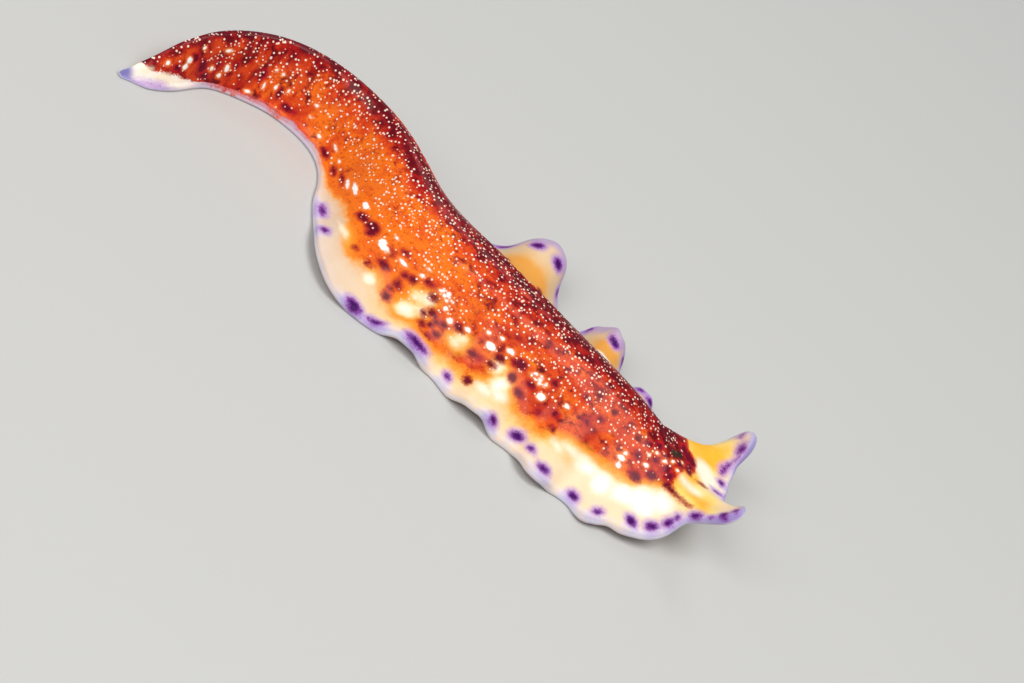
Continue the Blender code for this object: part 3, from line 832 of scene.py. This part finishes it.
RIGHT_FROM, RIGHT_LENGTH = 0.55, 0.45  # the right side's moves forwards and up grow from and over this share
OUT_STEP = 0.1  # how far apart two points are taken to find which way is outwards
LEAST_LEFT = 0.01  # keeps the midline's points on a side too


def bumps(rows):
    """For each point of the skin, the sum over the rows of move * exp(-((place - centre) / half)^2)."""
    return sum(move * hump(fact["place"], centre, half) for centre, move, half in rows)


sideways = fact["side"] * np.maximum(np.abs(fact["left"]), LEAST_LEFT)
from_centre = fact["back"] - np.maximum(fact["back"], HEAD_CENTRE)
flat_out = unit(np.stack([from_centre, sideways], -1)) * OUT_STEP
further_in = posed(fact["back"] - flat_out[:, 0], fact["left"] - flat_out[:, 1])
outwards = unit(posed(fact["back"], fact["left"]) - further_in)
outwards[:, 2] *= np.where(near_side, 1 - past(3, 1), 1)
push = np.where(near_side, bumps(NOTCHES[RIGHT]), bumps(NOTCHES[LEFT])) * near_edge(fact["share"])
positions += outwards * push[:, None]
outer_part = {
    RIGHT: near_side * ease((fact["share"] - RIGHT_FROM) / RIGHT_LENGTH),
    LEFT: far_side * near_edge(fact["share"]),
}
for side, weight in outer_part.items():
    positions[:, 0] += bumps(FORWARD[side]) * weight
    positions[:, 2] += bumps(UPWARD[side]) * weight
positions = above_floor(positions)
print(f"the margin is moved by {push.min():.2f} to {push.max():.2f} mm")

# %% [markdown]
# ## The mesh
#
# The arrays go into a Blender mesh in a few calls. The UV map holds the flat sheet, in millimetres divided
# by the map's size, with the belly beside the back. The other numbers become attributes, which materials
# can read by name.

# %% Make the mesh
UV_SIZE = 60.0  # millimetres of the flat sheet across the whole UV square
BACK_ISLAND, BELLY_ISLAND = 12.0, 38.0  # where each face's midline lies across the square
FRONT_GAP = 2  # empty space in front of the head
SHADER_FACTS = (
    "zone", "beyond", "edge", "under", "place", "cover", "oval", "blot", "cream", "purple", "amber",
    "eyespot", "pale", "ruffle",
)

mesh = bpy.data.meshes.new("skin")
mesh.from_pydata((positions * MM).tolist(), [], corners.tolist())
is_belly = (facts["under"][triangles].min(axis=1) >= 1)[:, None]
across_uv = facts["left"][triangles] + np.where(is_belly, BELLY_ISLAND, BACK_ISLAND)
uv = np.stack([facts["back"][triangles] + FRONT_GAP, across_uv], -1) / UV_SIZE
mesh.uv_layers.new(name="sheet").data.foreach_set("uv", uv.ravel())
for name in SHADER_FACTS:
    mesh.attributes.new(name, "FLOAT", "POINT").data.foreach_set("value", fact[name])
mesh.polygons.foreach_set("use_smooth", np.ones(len(corners), bool))
mesh.update()
print("open edges:", len(mesh.edges) - len(corners) * 3 // 2)

# %% The skin replaces the cut lengths
skin = bpy.data.objects.new("skin", mesh)
bpy.context.collection.objects.link(skin)
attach(skin, "root")
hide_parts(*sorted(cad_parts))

# %% [markdown]
# ## Paint: the helpers
#
# The material is a net of nodes. A few small helpers keep it readable: they make a node, turn a number
# into a soft step, mix two colours by a factor, and lay coats of colour over a paint.

# %% Helpers for nodes
paint = bpy.data.materials.new("wet flatworm skin")
paint.use_nodes = True
nodes, links = paint.node_tree.nodes, paint.node_tree.links
shader = nodes["Principled BSDF"]


def rgb(code):
    """A colour written as six hexadecimal digits, as linear red, green, blue and 1."""
    part = np.array([int(code[i : i + 2], 16) for i in (0, 2, 4)]) / 255
    return (*np.where(part <= 0.04045, part / 12.92, ((part + 0.055) / 1.055) ** 2.4), 1.0)


def plug(socket, value):
    """Links a socket to a socket, or sets it to a number or colour."""
    if isinstance(value, bpy.types.NodeSocket):
        links.new(value, socket)
    else:
        socket.default_value = value


def node(kind, inputs, **settings):
    """A node of a kind, with its settings and its inputs by name or number."""
    made = nodes.new(kind)
    for name, value in settings.items():
        setattr(made, name, value)
    for name, value in inputs.items():
        plug(made.inputs[name], value)
    return made


# %% Helpers for numbers and colours
def math(operation, a, b=0.0):
    """One number from two."""
    return node("ShaderNodeMath", {0: a, 1: b}, operation=operation).outputs[0]


def times(a, b):
    """One number times another."""
    return math("MULTIPLY", a, b)


def step(value, start, end, low=0.0, high=1.0):
    """low up to start, high from end on, and an eased rise between; start may lie above end."""
    if start > end:
        start, end, low, high = end, start, high, low
    inputs = {"Value": value, "From Min": start, "From Max": end, "To Min": low, "To Max": high}
    return node("ShaderNodeMapRange", inputs, interpolation_type="SMOOTHSTEP").outputs["Result"]


def mix(factor, under, over):
    """A colour that goes from under to over as the factor goes from 0 to 1."""
    made = node("ShaderNodeMix", {}, data_type="RGBA")
    for name, value in (("Factor_Float", factor), ("A_Color", under), ("B_Color", over)):
        plug(next(s for s in made.inputs if s.identifier == name), value)
    return next(s for s in made.outputs if s.identifier == "Result_Color")


def coats(base, value, *layers, where=None):
    """Coats over a base, each (start, end, strength, colour), that come in as the value goes to their end.

    "where" is 1 where they are laid and 0 where they aren't.
    """
    for start, end, strength, code in layers:
        factor = step(value, start, end, 0.0, strength)
        factor = factor if where is None else times(factor, where)
        base = mix(factor, base, rgb(code))
    return base


def read(name):
    """One of the skin's own numbers."""
    return node("ShaderNodeAttribute", {}, attribute_name=name).outputs["Fac"]


# %% [markdown]
# ## Paint: patterns in millimetres
#
# Dots and grain sit in the flesh in all directions alike, so they read Object coordinates, scaled from
# metres to millimetres. Blotches are drawn out along the body, so they read the UV map, which is the flat
# sheet, with its length counted for less.

# %% Coordinates and noises
DRAWN_OUT = 0.62  # how much a millimetre along the body counts for
place_in_space = nodes.new("ShaderNodeTexCoord").outputs["Object"]
in_mm = node("ShaderNodeVectorMath", {0: place_in_space, "Scale": 1 / MM}, operation="SCALE").outputs[0]
on_sheet_uv = node("ShaderNodeUVMap", {}, uv_map="sheet").outputs["UV"]
sheet_size = (UV_SIZE * DRAWN_OUT, UV_SIZE, 0)
sheet_mm = node("ShaderNodeVectorMath", {0: on_sheet_uv, 1: sheet_size}, operation="MULTIPLY").outputs[0]


def noise(vector, per_mm, detail=2.0, roughness=0.5, distortion=0.0):
    """Soft noise about 0.5, with so many features to the millimetre."""
    inputs = {"Vector": vector, "Scale": per_mm, "Detail": detail, "Roughness": roughness}
    inputs["Distortion"] = distortion
    return node("ShaderNodeTexNoise", inputs).outputs["Fac"]


def wobble(value, pattern, amount):
    """The value with a noise about 0.5 added, times an amount."""
    return math("ADD", value, times(math("SUBTRACT", pattern, 0.5), amount))


clouds = noise(in_mm, 0.3)
drift = noise(in_mm, 0.9, 3.0)
grain = noise(in_mm, 4.5, 3.0, 0.6)
stipple = noise(in_mm, 13.0, 1.0)
mottle = noise(sheet_mm, 0.8, 6.0, 0.62)
blotches = noise(sheet_mm, 1.9, 4.0, 0.55, 0.4)


def roughened(value, by_drift, by_grain=0.0, by_stipple=0.0):
    """The value with three noises added, from coarse to fine, each times its amount."""
    for pattern, amount in ((drift, by_drift), (grain, by_grain), (stipple, by_stipple)):
        value = wobble(value, pattern, amount) if amount else value
    return value


# %% [markdown]
# ## Paint: the orange and maroon middle
#
# The middle is a clear orange that turns to red in patches, with maroon over it wherever the blotch noise
# is higher than a limit. The limit falls as "cover" rises. Fine red grain and a purplish haze over the
# ridge keep the paint from looking airbrushed.

# %% The middle
cover = read("cover")
redness = math("ADD", mottle, times(math("SUBTRACT", cover, 0.4), 0.65))
redness = wobble(redness, stipple, 0.14)
warm = coats(rgb("F87A1C"), redness, (0.3, 0.5, 1.0, "E04E1C"), (0.45, 0.72, 1.0, "AE1E16"))
warm = coats(warm, grain, (0.48, 0.72, 0.55, "B01C14"))
limit = math("SUBTRACT", 0.74, times(cover, 0.42))
above = math("SUBTRACT", wobble(wobble(blotches, grain, 0.14), stipple, 0.06), limit)
middle = coats(warm, above, (-0.12, 0.04, 0.75, "9A0F1A"), (-0.02, 0.12, 0.9, "5E0616"))
middle = coats(middle, clouds, (0.45, 0.7, 0.14, "B04440"))
middle = coats(middle, cover, (0.58, 0.85, 0.5, "5C081A"))

# %% [markdown]
# ## Paint: from the border to the lavender margin
#
# Outside the middle the flesh pales through orange and amber to cream, and ends in lavender with a thin
# bluish-white rim. The distances are roughened by noise first, so that no ring looks ruled, and the finest
# noise breaks the border into grains of pigment. "field" is the flesh between the middle and the lavender.

# %% The margin's colours
true_beyond, true_edge, place, ruffled = (read(name) for name in ("beyond", "edge", "place", "ruffle"))
beyond = times(roughened(true_beyond, 1.0, 0.5, 0.35), step(place, 44.0, 47.0, 1.0, 2.6))
edge = roughened(times(true_edge, step(place, 29.0, 34.0, 1.0, 2.2)), 0.7)
field = coats(rgb("E8621C"), beyond, (-0.15, 0.35, 1.0, "F79A34"), (0.2, 0.9, 1.0, "FAC878"))
field = mix(step(beyond, 0.6, 1.5), field, coats(rgb("FBE1BC"), place, (8.0, 13.0, 1.0, "FADCAE")))
rear = times(step(place, 20.0, 27.0, 0.0, 0.75), step(beyond, 0.1, 0.8))
field = mix(times(rear, step(place, 45.0, 47.5, 1.0, 0.0)), field, rgb("DCC6B6"))
# Painted shade: outside the red, the tail's flesh is a dull grey mauve up to place 45.5. From 47.5 on it is
# its own pale cream.
tail_shade_and_cream = coats(rgb("BCA8BA"), place, (45.5, 47.5, 1.0, "FDF2E4"))
tail_field = mix(step(beyond, -0.1, 0.5), rgb("C84C40"), tail_shade_and_cream)
field = mix(step(place, 31.0, 36.0), field, tail_field)

# %% [markdown]
# The tentacles and the far ruffles are amber inside. On the ruffles, which lie in the body's shade, the amber
# is
# painted duller and more tan: that is painted shade. The amber keeps to the outside of the border, so that it
# doesn't tint the dark middle.

# %% Amber flesh and pale patches
amber = roughened(read("amber"), 0.8, 0.2)
outside = step(true_beyond, -0.05, 0.45)
# Painted shade: the flesh of the far ruffles is dulled to tan here, and the amber laid on them below is
# duller too.
field = mix(times(ruffled, 0.8), field, rgb("DDBE98"))
for start, end, strength, on_tentacle, shaded_on_ruffle in (
    (0.9, -0.2, 0.85, "FFDA70", "E8B878"), (0.1, -0.7, 0.9, "FFB524", "EAA040"),
):
    tone = mix(ruffled, rgb(on_tentacle), rgb(shaded_on_ruffle))
    field = mix(times(step(amber, start, end, 0.0, strength), outside), field, tone)
field = coats(field, roughened(read("pale"), 0.3), (0.5, -0.3, 1.0, "FFF4DC"))

# %% [markdown]
# The lavender is deepest round the purple spots, on the ruffles and at the two tips: of the tail, where it
# fills the whole end, and of the tentacles, which have no white rim.

# %% Lavender and the white rim
purple = roughened(read("purple"), 0.35, 0.26, 0.24)
violet_near = math("MAXIMUM", step(purple, 1.0, 0.2, 0.2, 0.95), times(ruffled, 0.8))
lilac = coats(rgb("E4DEEA"), true_edge, (0.6, 0.2, 1.0, "C8C2E2"))
# From place 28 to 34 the lavender turns a duller grey mauve: painted shade over the tail's margin. At the tip
# of the tail it turns a deep violet.
lilac = coats(lilac, place, (28.0, 34.0, 1.0, "BFB0C6"), (50.6, 51.6, 1.0, "8A86C0"))
lilac = mix(ruffled, lilac, rgb("B09CCC"))
tip = step(place, 50.9, 51.7)
margin = mix(math("MAXIMUM", times(step(edge, 1.0, 0.25), violet_near), tip), field, lilac)
on_tentacles = step(place, 2.9, 2.2)
margin = coats(margin, edge, (0.7, 0.1, 0.75, "8E8CC8"), where=on_tentacles)
elsewhere = math("SUBTRACT", 1.0, on_tentacles)
margin = coats(margin, true_edge, (0.2, 0.05, 0.6, "E2E4F6"), where=elsewhere)
back_paint = mix(step(beyond, -0.12, 0.12), middle, margin)

# %% [markdown]
# ## Paint: the marks
#
# Each kind of mark has its stored distance. Roughening it and passing it through a soft step gives an
# outline of any softness: cream patches glow far out, purple spots fade into a violet halo, and the ovals
# are nearly crisp.

# %% Patches and spots
cream = roughened(read("cream"), 0.7, 0.2)
in_middle = times(step(true_beyond, 0.7, 0.0), step(place, 46.0, 43.0))
glow = (0.75, 0.1, 0.85, "F7A232"), (0.3, -0.1, 0.9, "FDDB94")
back_paint = coats(back_paint, cream, *glow, where=in_middle)
back_paint = coats(back_paint, cream, (0.15, -0.22, 1.0, "FCE8C6"), (-0.05, -0.55, 1.0, "FFFAF0"))
blot = roughened(read("blot"), 0.5, 0.4, 0.08)
back_paint = coats(back_paint, blot, (0.26, 0.0, 0.7, "B21626"), (0.08, -0.14, 0.95, "660424"))
back_paint = coats(back_paint, purple, (0.45, 0.05, 0.65, "B48CD4"), (0.15, -0.12, 0.9, "84349E"))
back_paint = coats(back_paint, purple, (-0.02, -0.26, 1.0, "46105E"))

# %% [markdown]
# ## Paint: hundreds of tiny dots
#
# Dots of about 0.15 mm are scattered over the whole middle. A Voronoi texture in space cuts the surface
# into cells with one point each, and a dot is all that lies close to that point. Each cell's own random
# colour thins the dots towards the border and lets their size vary.

# %% Dots and ovals
DOT_SPACING = 0.235
cell_inputs = {"Vector": in_mm, "Scale": 1 / DOT_SPACING, "Randomness": 0.9}
cells = node("ShaderNodeTexVoronoi", cell_inputs, feature="F1", voronoi_dimensions="3D")
luck = node("ShaderNodeSeparateColor", {"Color": cells.outputs["Color"]}).outputs
radius = step(luck["Red"], 0.0, 1.0, 0.2, 0.34)
zone = roughened(read("zone"), 0.3)
there = math("LESS_THAN", luck["Green"], step(zone, 0.3, 0.95, 0.92, 0.16))
dots = times(step(math("SUBTRACT", cells.outputs["Distance"], radius), 0.06, -0.06), there)
dots = times(dots, step(zone, 1.0, 0.9))
back_paint = mix(times(dots, 0.92), back_paint, rgb("FFE6D2"))
oval = wobble(read("oval"), grain, 0.2)
back_paint = coats(back_paint, oval, (0.17, -0.02, 0.7, "F78C48"), (0.02, -0.06, 1.0, "FFFCF6"))
eyespot = wobble(read("eyespot"), grain, 0.1)
back_paint = coats(back_paint, eyespot, (0.16, 0.02, 0.8, "5A0C10"), (0.03, -0.06, 0.95, "2E2A18"))

# %% [markdown]
# ## Paint: the belly, and the wet finish
#
# Below, the flesh is a cloudy, pale pinkish cream that turns to lavender at the margin.
# Wet flesh is soft inside and glossy outside: light travels about half a millimetre through it, which is
# subsurface scattering, and a thin clear coat stands for the film of water and slime.

# %% Belly and finish
belly = coats(rgb("E9D3C6"), clouds, (0.35, 0.65, 1.0, "DDB9A6"))
belly = coats(belly, true_edge, (1.0, 0.3, 0.7, "D9D0EA"))
belly = coats(belly, purple, (0.2, -0.1, 0.6, "8A5CC0"))
skin_paint = mix(step(read("under"), 0.55, 1.0), back_paint, belly)
plug(shader.inputs["Base Color"], skin_paint)
wet = step(beyond, -0.3, 0.5, 0.38, 0.55)
plug(shader.inputs["Roughness"], wobble(wet, grain, 0.25))
for name, value in {
    "Subsurface Weight": 0.25, "Subsurface Scale": 0.4 * MM, "Subsurface Radius": (1.0, 0.45, 0.3),
    "Specular IOR Level": 0.09, "Coat Weight": 0.16, "Coat Roughness": 0.06, "IOR": 1.36,
}.items():
    shader.inputs[name].default_value = value
height = math("ADD", times(dots, 0.5), grain)
bump = node("ShaderNodeBump", {"Height": height, "Strength": 0.35, "Distance": 0.02 * MM})
plug(shader.inputs["Normal"], bump.outputs["Normal"])
skin.data.materials.append(paint)
print("nodes in the skin's material:", len(nodes))

# %% [markdown]
# ## Floor
#
# The worm lies on a plain pale floor, large enough to fill the view from any side. A slightly rough matt
# finish keeps it quiet and lets the soft shadows show where the margin touches it.

# %% Floor
FLOOR_HALF = 1.5
floor_mesh = bpy.data.meshes.new("floor")
square = [(x * FLOOR_HALF, y * FLOOR_HALF, 0) for x, y in ((-1, -1), (1, -1), (1, 1), (-1, 1))]
floor_mesh.from_pydata(square, [], [(0, 1, 2, 3)])
floor = bpy.data.objects.new("floor", floor_mesh)
bpy.context.collection.objects.link(floor)
matt = bpy.data.materials.new("matt floor")
matt.use_nodes = True
matt.node_tree.nodes["Principled BSDF"].inputs["Base Color"].default_value = rgb("C9C9C6")
matt.node_tree.nodes["Principled BSDF"].inputs["Roughness"].default_value = 0.85
floor_mesh.materials.append(matt)

# %% [markdown]
# ## Light
#
# A large lamp over the near side gives the even light of an underwater flash. A second one, high over the
# head, reaches into the trough of the right tentacle, which looks up and whose front edge hides it from low
# lamps. A small one behind the far side draws glints along the ridge, and a grey sky fills the shadows.

# %% Lamps and sky
CENTRE = Vector((0, 0, 0.002))


def lamp(name, place, size, power, colour):
    """A square lamp at a place, in metres, that faces the worm."""
    light = bpy.data.lights.new(name, "AREA")
    light.size, light.energy, light.color = size, power, colour
    made = bpy.data.objects.new(name, light)
    made.location = place
    made.rotation_euler = (CENTRE - made.location).to_track_quat("-Z", "Y").to_euler()
    bpy.context.collection.objects.link(made)


lamp("key", (-0.16, -0.28, 0.28), 0.26, 0.9, (1.0, 0.98, 0.95))
lamp("top", (0.1, -0.06, 0.34), 0.2, 0.75, (1.0, 0.98, 0.96))
lamp("ridge", (-0.05, 0.22, 0.26), 0.12, 0.12, (0.95, 0.97, 1.0))
sky = bpy.data.worlds.new("sky")
sky.use_nodes = True
sky.node_tree.nodes["Background"].inputs["Color"].default_value = rgb("E8ECF2")
sky.node_tree.nodes["Background"].inputs["Strength"].default_value = 0.3
bpy.context.scene.world = sky
bpy.context.scene.view_settings.view_transform = "Standard"

# %% [markdown]
# ## Camera
#
# The camera looks from the worm's right side, above the floor, and is rolled, because the rock in the
# photograph slopes while the floor here is level. Its place follows from two angles, a roll and a
# distance, so any of them can be changed alone.

# %% Camera
AZIMUTH, ELEVATION, ROLL = (np.radians(angle) for angle in (0, 35, 43))
DISTANCE, LENS, SENSOR = 178.0, 100.0, 36.0
NEAREST = 0.005  # how far from the lens things begin to be seen, in metres
TARGET = np.array([FRONT[0] - 16.3, FRONT[1] - 1.1, 1.5])

towards_eye = np.array([
    np.sin(AZIMUTH) * np.cos(ELEVATION), -np.cos(AZIMUTH) * np.cos(ELEVATION), np.sin(ELEVATION),
])
level_right = np.array([np.cos(AZIMUTH), np.sin(AZIMUTH), 0])
level_up = np.cross(towards_eye, level_right)
right = level_right * np.cos(ROLL) + level_up * np.sin(ROLL)
up = level_up * np.cos(ROLL) - level_right * np.sin(ROLL)
eye = (TARGET + towards_eye * DISTANCE) * MM
lens = bpy.data.cameras.new("camera")
lens.lens, lens.sensor_width, lens.clip_start = LENS, SENSOR, NEAREST
camera = bpy.data.objects.new("camera", lens)
rows = np.stack([right, up, towards_eye, eye], axis=1)
camera.matrix_world = Matrix([*rows.tolist(), [0, 0, 0, 1]])
bpy.context.collection.objects.link(camera)
bpy.context.scene.camera = camera
print("the camera stands at", np.round(eye, 3), "m")
